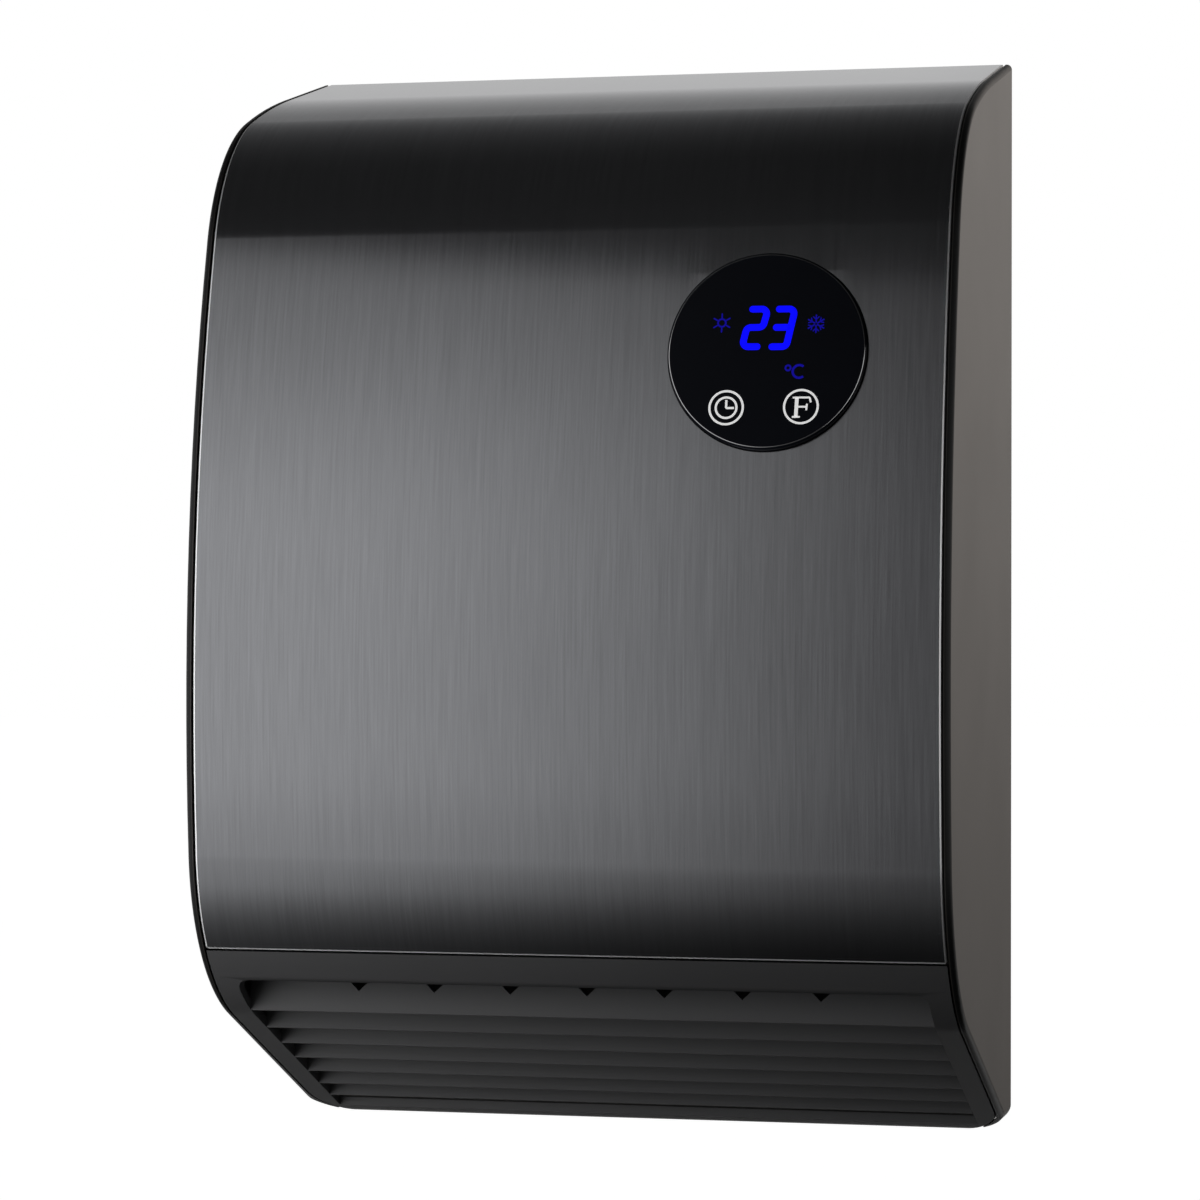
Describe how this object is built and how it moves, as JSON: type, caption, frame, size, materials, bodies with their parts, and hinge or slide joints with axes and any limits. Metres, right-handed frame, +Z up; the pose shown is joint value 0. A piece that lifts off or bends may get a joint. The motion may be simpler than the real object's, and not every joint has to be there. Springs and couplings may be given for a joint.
{
  "type": "wall fan heater",
  "caption": "Bathroom wall fan heater: curved dark brushed front plate, round touch display, louvred outlet underneath, cross-flow fan inside.",
  "frame": {"origin": "middle of the wall bracket's four screw holes, on the wall", "axes": "+X to the right along the wall, +Y into the wall, +Z up"},
  "size_m": [0.23, 0.138, 0.34],
  "materials": {
    "dark_plate": "brushed upright, dark tinted",
    "grille_plastic": "fine matt moulding",
    "case_plastic": "satin",
    "lens": "polished",
    "zinc_steel": "zinc plated",
    "rubber": "matt",
    "inner_plastic": "moulded",
    "impeller_plastic": "moulded",
    "board": "solder mask",
    "bronze": "sintered",
    "lamination": "stacked sheet",
    "copper": "enamelled wire",
    "heat_plastic": "heat-resistant moulding",
    "aluminium": "mill finish",
    "part_plastic": "moulded"
  },
  "bodies": {
    "case": {"front_plate": "dark_plate", "outlet_grille": "grille_plastic", "side_cheek_left": "case_plastic", "side_cheek_right": "case_plastic", "display_lens": "lens", "back_panel": "case_plastic", "intake_grille": "case_plastic", "wall_bracket": "zinc_steel", "cable_grommet": "rubber", "front_carrier": "inner_plastic", "display_holder": "inner_plastic", "display_board": "board", "led_display": "inner_plastic", "touch_pads": "rubber", "end_bearing": "bronze", "bearing_holder": "rubber", "scroll_housing": "inner_plastic", "vortex_tongue": "inner_plastic", "motor_bracket_inner": "zinc_steel", "motor_bracket_outer": "zinc_steel", "motor_bearings": "bronze", "motor_stator": "lamination", "motor_coil": "copper", "motor_screws": "zinc_steel", "heater_caps": "heat_plastic", "heater_tubes": "aluminium", "heater_fins": "aluminium", "heater_terminals": "bronze", "thermal_cutout": "heat_plastic", "thermal_fuse": "zinc_steel", "control_board": "board", "relays": "part_plastic", "suppression_capacitor": "part_plastic", "power_transformer": "part_plastic", "buzzer": "inner_plastic", "terminal_block": "heat_plastic", "board_screws": "zinc_steel", "scroll_screws": "zinc_steel", "case_screws": "zinc_steel", "cheek_screws": "zinc_steel"},
    "fan": {"impeller": "impeller_plastic", "stub_shaft": "zinc_steel", "motor_shaft": "zinc_steel", "motor_rotor": "lamination"}
  },
  "joints": [
    {"name": "fan_spin", "type": "hinge", "parent": "case", "child": "fan", "pos_m": [0, -0.072, -0.099], "axis": [1, 0, 0], "continuous": true}
  ]
}
